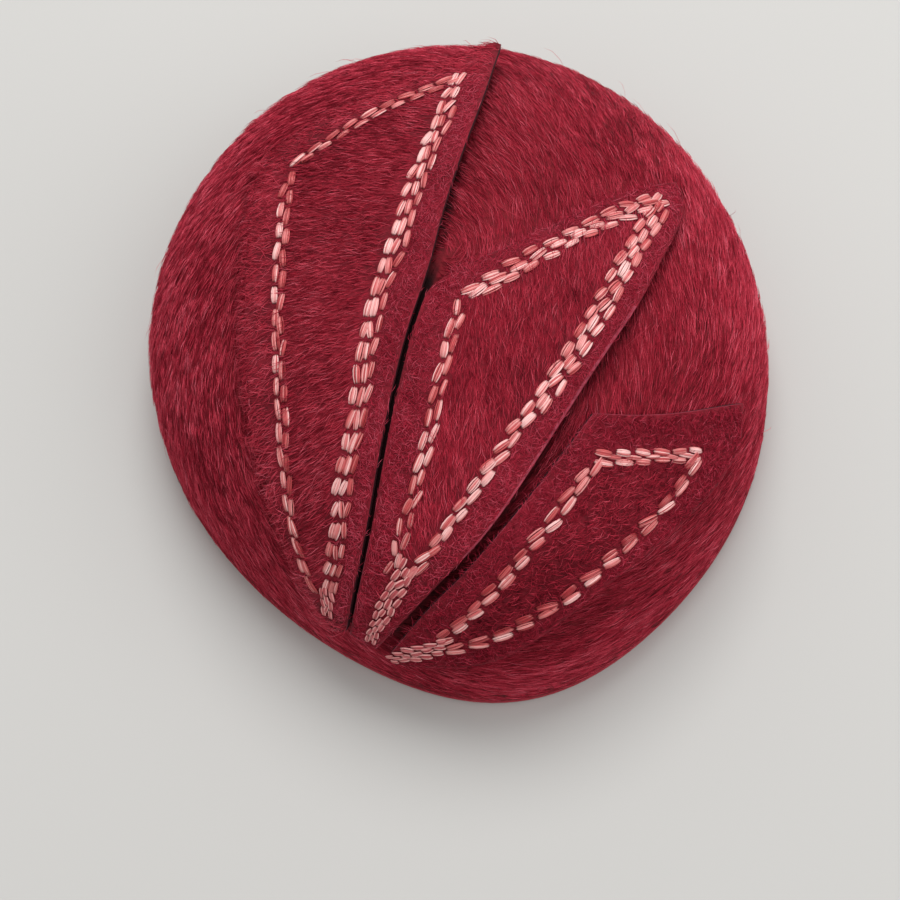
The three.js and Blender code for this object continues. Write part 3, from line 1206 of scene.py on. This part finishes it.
@dataclass
class Nap:
    """Some of the brushed hair of one felt piece, in locks whose hairs lean together."""

    piece: str
    lie: Lie
    slot: Slot
    density: float
    length: float
    width: float
    shade: float
    seed: int
    patch: Patch = Patch.ALL
    finish: StrandFinish = NAP
    rings: tuple[float, ...] = ()
    lock_density: float = 0.28
    height: float = 0.8 * MM
    gather: float = 0.5
    waviness: float = 9.0
    wave: float = 0.0
    tangle: float = 5.0
    fall: float = 0.0
    shade_spread: float = 0.14
    clearance: float = 0.75 * MM
    crossing_share: float = 0.15
    bare_rim: float = 3.2 * MM
    rim_fade: Share = (3 * MM, 16 * MM)
    pieces: int = 1

    def swing(self, places: np.ndarray) -> np.ndarray:
        """Reads the crown's flow between its marks.

        Args:
            places: points seen from above, measured from the dome's centre.

        Returns:
            The swings in radians.
        """
        around = np.arctan2(places[:, 1], places[:, 0])
        plan = np.hypot(places[:, 0] / DOME.half_width, places[:, 1] / DOME.half_length)
        share = np.arcsin(np.minimum(plan, 1)) * 2 / np.pi
        spots = np.stack([share * np.cos(around), share * np.sin(around)], axis=1)
        marks = np.array([(mark.side, mark.back) for mark in CROWN_FLOW])
        swings = np.array([mark.swing for mark in CROWN_FLOW])
        weight = 1 / (((spots[:, None] - marks[None]) ** 2).sum(axis=2) + 0.004) ** 2
        swings = (weight * swings).sum(axis=1) / weight.sum(axis=1)
        return np.radians(swings * (1 - smooth_step(0.93, 1.0, plan)))

    def way(self, roots: np.ndarray, facing: np.ndarray) -> np.ndarray:
        """Finds which way the hair lies at each root.

        Args:
            roots: the hairs' roots.
            facing: the skin's normals there.

        Returns:
            Unit vectors along the skin.
        """
        out = roots[:, :2] - np.array(DOME.centre)
        around = np.arctan2(out[:, 1], out[:, 0])
        zero = np.zeros(len(roots))
        if self.lie is Lie.ROUND:
            tangent = np.stack([-np.sin(around), np.cos(around), zero], axis=1)
            tangent = unit(tangent - facing * (tangent * facing).sum(axis=1, keepdims=True))
            outwards = np.cross(tangent, facing)
            swing = self.swing(out)[:, None]
            way = tangent * np.cos(swing) + outwards * np.sin(swing)
        elif self.lie is Lie.ACROSS:
            slant = np.radians(26 - 36 * smooth_step(-55 * MM, 30 * MM, roots[:, 1]))
            way = np.stack([-np.cos(slant), -np.sin(slant), zero], axis=1)
        else:
            way = np.tile(LEAF_WAYS[self.lie], (len(roots), 1))
        return unit(way - facing * (way * facing).sum(axis=1, keepdims=True))

    def ridges(self, middles: np.ndarray) -> np.ndarray:
        """Finds the long light and dark streaks that the brushing leaves round the crown.

        Args:
            middles: the middles of the locks.

        Returns:
            A number from about -1 to 1 for each.
        """
        if self.lie is not Lie.ROUND:
            return np.zeros(len(middles))
        out = middles[:, :2] - np.array(DOME.centre)
        around = np.arctan2(out[:, 1], out[:, 0])
        down = np.linalg.norm(out, axis=1) - middles[:, 2]
        turned = 9 * MM
        places = np.stack([down, turned * np.cos(around), turned * np.sin(around)], axis=1)
        calm = 1 - smooth_step(math.radians(14), math.radians(32), np.abs(self.swing(out)))
        return noise_at(places, 2.2 * MM, 5.5) * calm

    def locks(self, felt: bpy.types.Object,
              dice: np.random.Generator) -> tuple[KDTree, dict[str, np.ndarray]]:
        """Scatters the middles of the locks and gives each its lean, shade, height and length.

        Args:
            felt: the felt piece.
            dice: the seeded source of the draws.

        Returns:
            A tree to find the nearest lock with, and the locks' values.
        """
        middles, _ = scattered(felt, self.lock_density, dice)
        tree = tree_of(middles)
        count = len(middles)
        ridge = self.ridges(middles)
        turn = self.waviness * (0.9 * noise_at(middles, 14 * MM, 3.1) + dice.normal(0, 0.7, count))
        shade = (0.12 * noise_at(middles, 24 * MM, 7.7) + 0.12 * noise_at(middles, 5 * MM, 1.3)
                 + 0.17 * ridge + dice.normal(0, 0.04, count))
        # Painted light: hair lying across a leaf is paler towards the front and darker towards the back
        if self.lie is Lie.ACROSS:
            shade += 0.12 * (0.5 - smooth_step(-60 * MM, 20 * MM, middles[:, 1]))
        values = {"middle": middles, "turn": np.radians(turn), "shade": shade,
                  "height": dice.uniform(0.5, 1.3, count) * (1 + 0.5 * ridge),
                  "length": dice.uniform(0.8, 1.15, count)}
        return tree, values

    def kept(self, node: str, felt: bpy.types.Object, around: Surroundings,
             dice: np.random.Generator) -> tuple[np.ndarray, np.ndarray, np.ndarray]:
        """Scatters the roots and drops those that nothing should grow from.

        Args:
            node: the node that the hair grows on.
            felt: its felt.
            around: what the hair minds.
            dice: the seeded source of the draws.

        Returns:
            The roots, the skin's normals there, and how much painted shade each gets.
        """
        roots, facing = scattered(felt, self.density, dice)
        keep = roots[:, 2] > self.bare_rim
        roots, facing = roots[keep], facing[keep]
        if self.lie is Lie.ROUND:
            ahead = roots + self.way(roots, facing) * 3 * MM
            dark, tight = around.gloom(roots, facing)
            keep = ~(tight | (around.covered(roots, facing) & around.covered(ahead, facing)))
            return roots[keep], facing[keep], dark[keep]
        stitching = around.stitching[node]
        keep = stitching.inside(roots) == (self.patch is Patch.INSIDE)
        if self.patch is not Patch.INSIDE:
            keep &= stitching.by_lines(roots, stitching.soft) == (self.patch is Patch.SOFT)
        keep &= stitching.distance(roots) > self.clearance
        return roots[keep], facing[keep], np.zeros(keep.sum())

    def bundle(self, node: str, felt: bpy.types.Object, around: Surroundings) -> Bundle:
        """Grows the hair.

        Args:
            node: the node that it grows on.
            felt: its felt.
            around: what it minds.

        Returns:
            The hairs.
        """
        dice = np.random.default_rng(self.seed)
        tree, locks = self.locks(felt, dice)
        roots, facing, dark = self.kept(node, felt, around, dice)
        count = len(roots)
        near = np.array([tree.find(Vector(root))[1] for root in roots])
        turn = locks["turn"][near] + np.radians(dice.normal(0, self.tangle, count))
        way = self.way(roots, facing)
        side = np.cross(way, facing)
        along = way * np.cos(turn)[:, None] + side * np.sin(turn)[:, None]
        side = unit(np.cross(along, facing))
        pull = ((locks["middle"][near] - roots) * side).sum(axis=1) * self.gather
        from_rim = smooth_step(*self.rim_fade, roots[:, 2])
        length = self.length * locks["length"][near] * dice.uniform(0.7, 1.15, count)
        length *= 0.7 + 0.3 * from_rim
        rise = self.height * locks["height"][near] * dice.uniform(0.5, 1.2, count)
        rise *= 0.3 + 0.7 * from_rim
        drop = length ** 2 / (2 * DOME.half_width) + self.fall
        bow = dice.normal(0, 0.08, count) * length
        tip = roots + along * length[:, None] + side * pull[:, None] + facing * (rise - drop)[:, None]
        bend = (roots + along * (0.5 * length)[:, None] + side * (0.3 * pull + bow)[:, None]
                + facing * (1.1 * rise)[:, None])
        if self.lie is not Lie.ROUND:
            stitching = around.stitching[node]
            middle = (roots + 2 * bend + tip) / 4
            nearest = np.minimum(stitching.distance(middle), stitching.distance(tip))
            crossing = (nearest < self.clearance) & (dice.random(count) > self.crossing_share)
            short = 0.35 * length[:, None]
            tip[crossing] = (roots + along * short + facing * (0.4 * rise)[:, None])[crossing]
            bend[crossing] = (roots + along * short / 2 + facing * (0.5 * rise)[:, None])[crossing]
        width = self.width * dice.uniform(0.7, 1.25, count)
        shade = self.shade + locks["shade"][near] + dice.normal(0, self.shade_spread, count)
        # Painted shade: hair beside an edge that stands off the crown, and in the slits, is darkened
        shade = np.clip(shade, 0, 1) * (1 - 0.9 * dark)
        wave = self.wave * dice.normal(0, 1, count)
        phase = dice.uniform(0, 2 * np.pi, count)
        hairs = Bundle(roots - facing * 0.15 * MM, bend, tip, side, facing, width, shade, wave, phase)
        if self.patch is Patch.MARGIN:
            free = stitching.by_lines(roots, stitching.fringed)
            self.turn_in(hairs, ~free & around.off_leaf(node, tip + facing * MM, facing))
            hairs = hairs.chosen(free | ~around.off_leaf(node, hairs.tip + facing * MM, facing))
        return hairs

    def turn_in(self, hairs: Bundle, out: np.ndarray) -> None:
        """Turns some hairs to lie the other way.

        Args:
            hairs: the hairs.
            out: a mask of those that reach past the leaf's edge.
        """
        for spots in (hairs.bend, hairs.tip):
            past = spots - hairs.root
            lift = (past * hairs.up).sum(axis=1, keepdims=True) * hairs.up
            spots[out] = (hairs.root - past + 2 * lift)[out]

    def build(self, node: str, felt: bpy.types.Object, around: Surroundings) -> None:
        """Makes the hair's pieces.

        Args:
            node: the node that it grows on.
            felt: its felt.
            around: what it minds.
        """
        hairs = self.bundle(node, felt, around)
        strand = Strand.hair(self.rings)
        which = np.arange(len(hairs.root)) % self.pieces
        for number in range(self.pieces):
            name = self.piece if self.pieces == 1 else f"{self.piece}_{number + 1}"
            piece = joined(name, hairs.chosen(which == number), strand, self.finish)
            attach(piece, BODY)
            log.info("%s: %d triangles", name, len(piece.data.polygons))


# The photograph's setting

@dataclass(frozen=True)
class Lamp:
    """A round soft light that points at the middle of the rim. Its place and size are in metres."""

    name: str
    place: Place
    size: float
    power: float


@dataclass
class Studio:
    """A plain pale floor, soft light from above, and the camera."""

    target: tuple[float, float, float] = (-4.978 * MM, -28.481 * MM, 24.8 * MM)
    distance: float = 450 * MM
    elevation: float = 68.0
    roll: float = -8.0
    focal_pixels: float = 1974.0
    picture_pixels: float = 900.0
    sensor: float = 36.0
    floor_size: float = 20.0
    floor_colour: Colour = (0.525, 0.52, 0.505)
    room_colour: Colour = (1.0, 0.99, 0.98)
    room_strength: float = 0.63
    lamps: tuple[Lamp, ...] = (Lamp("key", (0.10, 0.55, 1.1), size=0.8, power=10.5),
                               Lamp("fill", (0.8, -0.35, 0.9), size=1.2, power=4.0))

    def build_camera(self) -> None:
        """Sets the camera where the photograph was taken from."""
        tilt = math.radians(90 - self.elevation)
        back = Vector((0, -math.sin(tilt), math.cos(tilt)))
        right = Vector((0, 0, 1)).cross(back).normalized()
        up = back.cross(right)
        turn = math.radians(self.roll)
        rolled_right = math.cos(turn) * right + math.sin(turn) * up
        rolled_up = -math.sin(turn) * right + math.cos(turn) * up
        data = bpy.data.cameras.new("camera")
        data.sensor_width = self.sensor
        data.lens = self.sensor * self.focal_pixels / self.picture_pixels
        data.clip_start = 10 * MM
        camera = bpy.data.objects.new("camera", data)
        bpy.context.scene.collection.objects.link(camera)
        turned = Matrix((rolled_right, rolled_up, back)).transposed().to_4x4()
        camera.matrix_world = Matrix.Translation(Vector(self.target) + back * self.distance) @ turned
        bpy.context.scene.camera = camera

    def build_floor(self) -> None:
        """Lays the floor that the cap stands on."""
        deselect()
        bpy.ops.mesh.primitive_plane_add(size=self.floor_size, location=(0, 0, 0))
        floor = bpy.context.active_object
        floor.name = "floor"
        material, tree, shader = new_shader("pale_floor")
        place = tree.nodes.new("ShaderNodeTexCoord").outputs["Object"]
        cloud = noise_texture(tree, place, 3.0, 2)
        shaded = tuple(0.97 * part for part in self.floor_colour)
        tone = ramp(tree, [(0.3, self.floor_colour), (0.7, shaded)])
        tree.links.new(cloud, tone.inputs["Fac"])
        tree.links.new(tone.outputs["Color"], shader.inputs["Base Color"])
        shader.inputs["Roughness"].default_value = 0.9
        floor.data.materials.append(material)

    def build_light(self) -> None:
        """Hangs the soft lamps over the cap and lights the room evenly."""
        scene = bpy.context.scene
        scene.view_settings.view_transform = "Standard"
        world = bpy.data.worlds.new("room")
        scene.world = world
        world.use_nodes = True
        room = world.node_tree.nodes["Background"]
        room.inputs["Color"].default_value = (*self.room_colour, 1)
        room.inputs["Strength"].default_value = self.room_strength
        for lamp in self.lamps:
            data = bpy.data.lights.new(lamp.name, "AREA")
            data.shape = "DISK"
            data.size = lamp.size
            data.energy = lamp.power
            light = bpy.data.objects.new(lamp.name, data)
            scene.collection.objects.link(light)
            light.location = lamp.place
            light.rotation_euler = (-Vector(lamp.place)).to_track_quat("-Z", "Y").to_euler()

    def build(self) -> None:
        """Builds the whole setting."""
        self.build_camera()
        self.build_floor()
        self.build_light()


# The leaves' lines of stitches: the side, the top and the long one, away from the gather, then the plait

LEFT_LINES = (
    StitchLine(((-0.376, -0.690), (-0.391, -0.546), (-0.368, -0.375), (-0.342, -0.222), (-0.321, -0.029),
                (-0.289, 0.136), (-0.262, 0.252)),
               (Column(-0.85 * MM, 1.85 * MM, 0.72, reach=(0.06, 1.0)),
                Column(0.85 * MM, 1.95 * MM, 0.32, lead=-0.15, reach=(0.06, 1.0))),
               pitch=5.2 * MM, start_size=0.62, full_from=0.6),
    StitchLine(((-0.262, 0.252), (-0.150, 0.298), (-0.030, 0.345), (0.082, 0.387)),
               (Column(-0.85 * MM, 1.7 * MM, 0.42),
                Column(0.75 * MM, 1.5 * MM, 0.50, lead=0.4)),
               pitch=4.8 * MM),
    StitchLine(((-0.376, -0.690), (-0.300, -0.545), (-0.235, -0.386), (-0.179, -0.247), (-0.125, -0.075),
                (-0.057, 0.071), (0.008, 0.216), (0.082, 0.387)),
               (Column(-1.55 * MM, 1.75 * MM, 0.84, reach=(0.05, 1.0)),
                Column(0.0, 1.65 * MM, 0.76, last_lead=0.3, reach=(0.05, 1.0)),
                Column(1.5 * MM, 1.45 * MM, 0.50, lead=0.1, last_lead=0.75, reach=(0.05, 0.9))),
               start_size=0.8, full_from=0.2),
    StitchLine(((-0.380, -0.695), (-0.364, -0.655), (-0.350, -0.615)),
               (Column(-1.3 * MM, 1.4 * MM, 0.40), Column(0.0, 1.4 * MM, 0.50, lead=0.4),
                Column(1.3 * MM, 1.4 * MM, 0.42)),
               pitch=3.0 * MM, grain=1.15, start_size=0.7, strands=4, mauve=True),
)
MIDDLE_LINES = (
    StitchLine(((-0.281, -0.746), (-0.169, -0.545), (-0.113, -0.431), (-0.064, -0.311), (-0.022, -0.194),
                (0.022, -0.095)),
               (Column(-0.85 * MM, 1.7 * MM, 0.72, reach=(0.24, 1.0)),
                Column(0.85 * MM, 1.45 * MM, 0.62, lead=0.5, reach=(0.24, 1.0))),
               start_size=0.75, full_from=0.6),
    StitchLine(((0.022, -0.095), (0.170, -0.030), (0.315, 0.042), (0.462, 0.113)),
               (Column(-1.35 * MM, 1.8 * MM, 0.60), Column(0.0, 1.8 * MM, 0.78, lead=0.2),
                Column(1.4 * MM, 1.7 * MM, 0.74, lead=0.7, reach=(0.0, 0.85))),
               pitch=5.3 * MM, grain=0.90),
    StitchLine(((-0.281, -0.746), (-0.124, -0.566), (-0.014, -0.440), (0.086, -0.332), (0.193, -0.228),
                (0.299, -0.106), (0.462, 0.113)),
               (Column(-1.45 * MM, 2.2 * MM, 0.66, reach=(0.16, 0.97)),
                Column(0.15 * MM, 2.0 * MM, 0.78, lead=0.5, reach=(0.16, 1.0)),
                Column(1.7 * MM, 1.7 * MM, 0.72, lead=0.35, reach=(0.5, 0.95))),
               pitch=5.1 * MM, start_size=0.6, full_from=0.6),
    StitchLine(((-0.287, -0.757), (-0.220, -0.660), (-0.140, -0.553)),
               (Column(-1.4 * MM, 1.5 * MM, 0.42), Column(0.0, 1.5 * MM, 0.52, lead=0.5),
                Column(1.4 * MM, 1.5 * MM, 0.40)),
               pitch=3.1 * MM, grain=1.15, start_size=0.65, full_from=0.4, strands=4, mauve=True),
)
RIGHT_LINES = (
    StitchLine(((-0.249, -0.803), (-0.113, -0.725), (-0.022, -0.643), (0.060, -0.562), (0.142, -0.483),
                (0.228, -0.405)),
               (Column(-0.75 * MM, 1.8 * MM, 0.34, lead=0.1, reach=(0.21, 1.0)),
                Column(0.75 * MM, 1.9 * MM, 0.74, lead=-0.1, reach=(0.21, 1.0))),
               pitch=5.2 * MM, grain=0.92, start_size=0.8),
    StitchLine(((0.228, -0.405), (0.345, -0.420), (0.465, -0.430)),
               (Column(-0.95 * MM, 1.7 * MM, 0.80, reach=(-0.06, 1.0)),
                Column(0.1 * MM, 1.1 * MM, 0.70, lead=0.5, reach=(-0.06, 0.9)),
                Column(1.05 * MM, 1.6 * MM, 0.72, reach=(-0.06, 0.9))),
               pitch=4.7 * MM, grain=0.92),
    StitchLine(((-0.249, -0.803), (-0.097, -0.751), (0.008, -0.715), (0.129, -0.658), (0.260, -0.587),
                (0.382, -0.510), (0.465, -0.430)),
               (Column(-0.75 * MM, 1.9 * MM, 0.14, reach=(0.17, 0.97)),
                Column(0.8 * MM, 1.7 * MM, 0.66, lead=-0.1, reach=(0.17, 1.0))),
               pitch=5.7 * MM, grain=0.92, start_size=0.75),
    StitchLine(((-0.256, -0.806), (-0.180, -0.772), (-0.098, -0.736)),
               (Column(-1.3 * MM, 1.5 * MM, 0.40), Column(0.0, 1.5 * MM, 0.52, lead=0.5),
                Column(1.3 * MM, 1.5 * MM, 0.46)),
               pitch=3.1 * MM, grain=1.15, start_size=0.7, full_from=0.3, strands=4, mauve=True),
)


def surface_of(piece: bpy.types.Object) -> BVHTree:
    """Makes a search tree of a piece's surface.

    Args:
        piece: a mesh object at the origin.

    Returns:
        The tree.
    """
    shape = bmesh.new()
    shape.from_mesh(piece.data)
    tree = BVHTree.FromBMesh(shape)
    shape.free()
    return tree


@dataclass(frozen=True)
class LeafPlan:
    """What is particular to one leaf: its stitches, its hair, and which of its edges show."""

    lines: tuple[StitchLine, ...]
    lie: Lie
    crisp: tuple[int, ...]
    soft: tuple[int, ...]
    fringed: tuple[int, ...]
    length: float
    tangle: float
    tone: float
    seed: int


LEAVES = {
    "leaf_left": LeafPlan(LEFT_LINES, Lie.ACROSS, crisp=(2,), soft=(0, 1), fringed=(),
                          length=4.8 * MM, tangle=10, tone=0.66, seed=10),
    "leaf_middle": LeafPlan(MIDDLE_LINES, Lie.ALONG, crisp=(0, 1, 2), soft=(), fringed=(1,),
                            length=4.8 * MM, tangle=10, tone=0.60, seed=20),
    "leaf_right": LeafPlan(RIGHT_LINES, Lie.SLANTED, crisp=(0, 1, 2), soft=(), fringed=(0,),
                           length=3.1 * MM, tangle=34, tone=0.45, seed=30),
}


def all_naps() -> list[tuple[str, Nap]]:
    """Lists the layers of hair and the node that each grows on.

    Returns:
        Pairs of a node and its hair.
    """
    under = {"width": 0.24 * MM, "height": 0.5 * MM, "shade_spread": 0.09}
    over = {"width": 0.15 * MM, "wave": 0.22 * MM, "shade_spread": 0.15}
    # Each under layer takes a darker shade than the layer over it: painted shade for hair lying beneath
    # other hair
    layers = [
        ("crown", Nap("nap_crown_under", Lie.ROUND, Slot.CROWN, pieces=3, seed=1, density=2.3, shade=0.41,
                      length=4.8 * MM, **under)),
        ("crown", Nap("nap_crown_over", Lie.ROUND, Slot.CROWN, pieces=3, seed=2, rings=(0.5,), density=1.45,
                      shade=0.60, length=6.2 * MM, **over)),
        ("crown", Nap("nap_crown_stray", Lie.ROUND, Slot.CROWN, rings=(0.33, 0.66), density=0.005,
                      length=8 * MM, height=2.4 * MM, width=0.11 * MM, tangle=40, shade=0.6, seed=3)),
    ]
    for node, plan in LEAVES.items():
        lie, loose, tone, seed = plan.lie, plan.tangle, plan.tone, plan.seed
        short = 0.875 * plan.length
        layers += [
            (node, Nap("nap_under_" + node, lie, Slot.LEAF, patch=Patch.INSIDE, density=2.6,
                       shade=tone - 0.2, length=short, tangle=loose, seed=seed, **under)),
            (node, Nap("nap_over_" + node, lie, Slot.LEAF, patch=Patch.INSIDE, rings=(0.5,), density=1.6,
                       shade=tone, length=plan.length, tangle=1.2 * loose, seed=seed + 1, **over)),
            (node, Nap("fuzz_under_" + node, lie, Slot.LEAF, patch=Patch.MARGIN, finish=FUZZ, density=4.0,
                       length=2.2 * MM, width=0.17 * MM, height=0.35 * MM, tangle=70, gather=0.0,
                       shade=tone - 0.13, seed=seed + 2)),
            (node, Nap("fuzz_over_" + node, lie, Slot.LEAF, patch=Patch.MARGIN, finish=FUZZ, density=2.8,
                       rings=(0.5,), length=3.2 * MM, width=0.12 * MM, height=0.5 * MM, tangle=90,
                       gather=0.0, wave=0.18 * MM, shade=tone + 0.02, shade_spread=0.2, seed=seed + 3)),
        ]
        if plan.soft:
            layers += [
                (node, Nap("tufts_under_" + node, lie, Slot.LEAF, patch=Patch.SOFT, density=3.8,
                           shade=tone - 0.24, length=3.8 * MM, tangle=2.0 * loose, seed=seed + 4,
                           fall=0.8 * MM, **under)),
                (node, Nap("tufts_over_" + node, lie, Slot.LEAF, patch=Patch.SOFT, rings=(0.5,),
                           density=3.0, shade=tone, length=4.6 * MM, tangle=2.2 * loose, seed=seed + 5,
                           fall=0.8 * MM, **over)),
            ]
    return layers


def main() -> None:
    """Builds the cap and its setting, piece by piece."""
    logging.basicConfig(level=logging.INFO, format="%(name)s: %(message)s")
    Studio().build()
    felts, trees, stitching = {}, {}, {}
    for node, plan in LEAVES.items():
        felts[node] = FeltBody(node, LEAF_FELT, Slot.LEAF, lines=plan.lines, crisp=plan.crisp).build()
        trees[node] = surface_of(felts[node])
        embroidery = Embroidery(node, plan.lines, seed=plan.seed)
        embroidery.build(trees[node])
        stitching[node] = Stitching(embroidery, plan.soft, plan.fringed)
    around = Surroundings(trees, stitching)
    felts["crown"] = FeltBody("crown", CROWN_FELT, Slot.CROWN, cut_edge=0, nap_room=0.5 * MM).build()
    paint_crown_shade(felts["crown"], around)
    for node, nap in all_naps():
        nap.build(node, felts[node], around)


if __name__ == "__main__":
    main()
